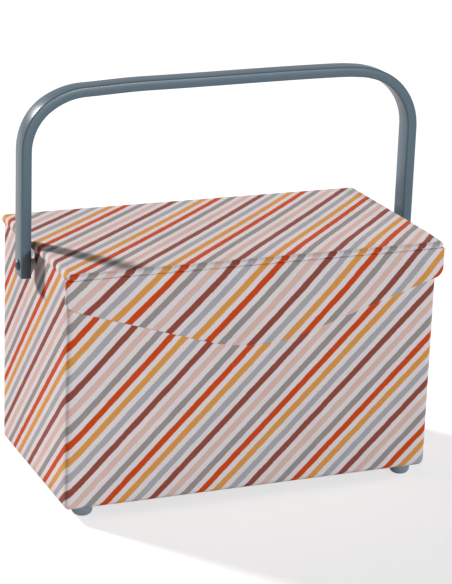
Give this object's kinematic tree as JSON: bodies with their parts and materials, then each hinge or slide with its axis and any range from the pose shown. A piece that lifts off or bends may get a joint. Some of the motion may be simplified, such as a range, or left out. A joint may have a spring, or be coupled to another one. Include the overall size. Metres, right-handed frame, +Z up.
{
  "type": "sewing box",
  "caption": "Cloth-covered rigid sewing box on feet, with a fold-over lid and curved front flap, a bail handle on side pivots and a lift-out tray with compartments.",
  "frame": {"origin": "under the middle of the whole outline, on the plane that the feet stand on", "axes": "+Z up, +X along the long front towards the right end, the flap at the -Y front"},
  "size_m": [0.3308, 0.1652, 0.316],
  "materials": {
    "striped_cloth": "cotton print, diagonal stripes of six colours on off-white",
    "plain_cloth": "plain woven cotton",
    "pincushion_cloth": "plain cotton, stuffed",
    "board": "grey card and fibre board",
    "wadding": "thin polyester wadding",
    "base_sheet": "pressed felt sheet",
    "blue_plastic": "satin moulded",
    "tray_plastic": "satin moulded",
    "painted_steel": "satin paint",
    "bright_steel": "plated"
  },
  "bodies": {
    "box": {"base_board": "board", "front_board": "board", "back_board": "board", "left_board": "board", "right_board": "board", "body_cover": "striped_cloth", "base_cover": "base_sheet", "wall_lining": "plain_cloth", "floor_pad": "plain_cloth", "tray_ledge_front": "board", "tray_ledge_back": "board", "feet": "blue_plastic", "foot_screws": "bright_steel", "box_magnet": "bright_steel", "handle_spacers": "blue_plastic", "pivot_screws": "painted_steel", "pivot_washers": "bright_steel", "pivot_nuts": "bright_steel", "lid_hinge_cloth": "striped_cloth"},
    "lid": {"lid_board": "board", "lid_padding": "wadding", "lid_cover": "striped_cloth", "lid_panel": "plain_cloth", "lid_pocket": "plain_cloth", "pincushion": "pincushion_cloth", "flap_hinge_cloth": "striped_cloth"},
    "flap": {"flap_board": "board", "flap_cover": "striped_cloth", "flap_lining": "plain_cloth", "flap_magnet": "bright_steel"},
    "handle": {"handle": "blue_plastic"},
    "tray": {"tray": "tray_plastic"}
  },
  "joints": [
    {"name": "lid_open", "type": "hinge", "parent": "box", "child": "lid", "pos_m": [0, 0.08235, 0.1902], "axis": [-1, 0, 0], "range_deg": [0, 110], "deforming": ["lid_hinge_cloth"]},
    {"name": "flap_open", "type": "hinge", "parent": "lid", "child": "flap", "pos_m": [0, -0.0826, 0.19], "axis": [-1, 0, 0], "range_deg": [0, 90], "deforming": ["flap_hinge_cloth"]},
    {"name": "handle_swing", "type": "hinge", "parent": "box", "child": "handle", "pos_m": [0, 0.0026, 0.178], "axis": [-1, 0, 0], "range_deg": [-125, 125]},
    {"name": "tray_lift", "type": "slide", "parent": "box", "child": "tray", "axis": [0, 0, 1], "range_m": [0, 0.008]}
  ],
  "couplings": [
    {"joint": "handle_swing", "follows": "lid_open", "ratio": 1.1}
  ]
}
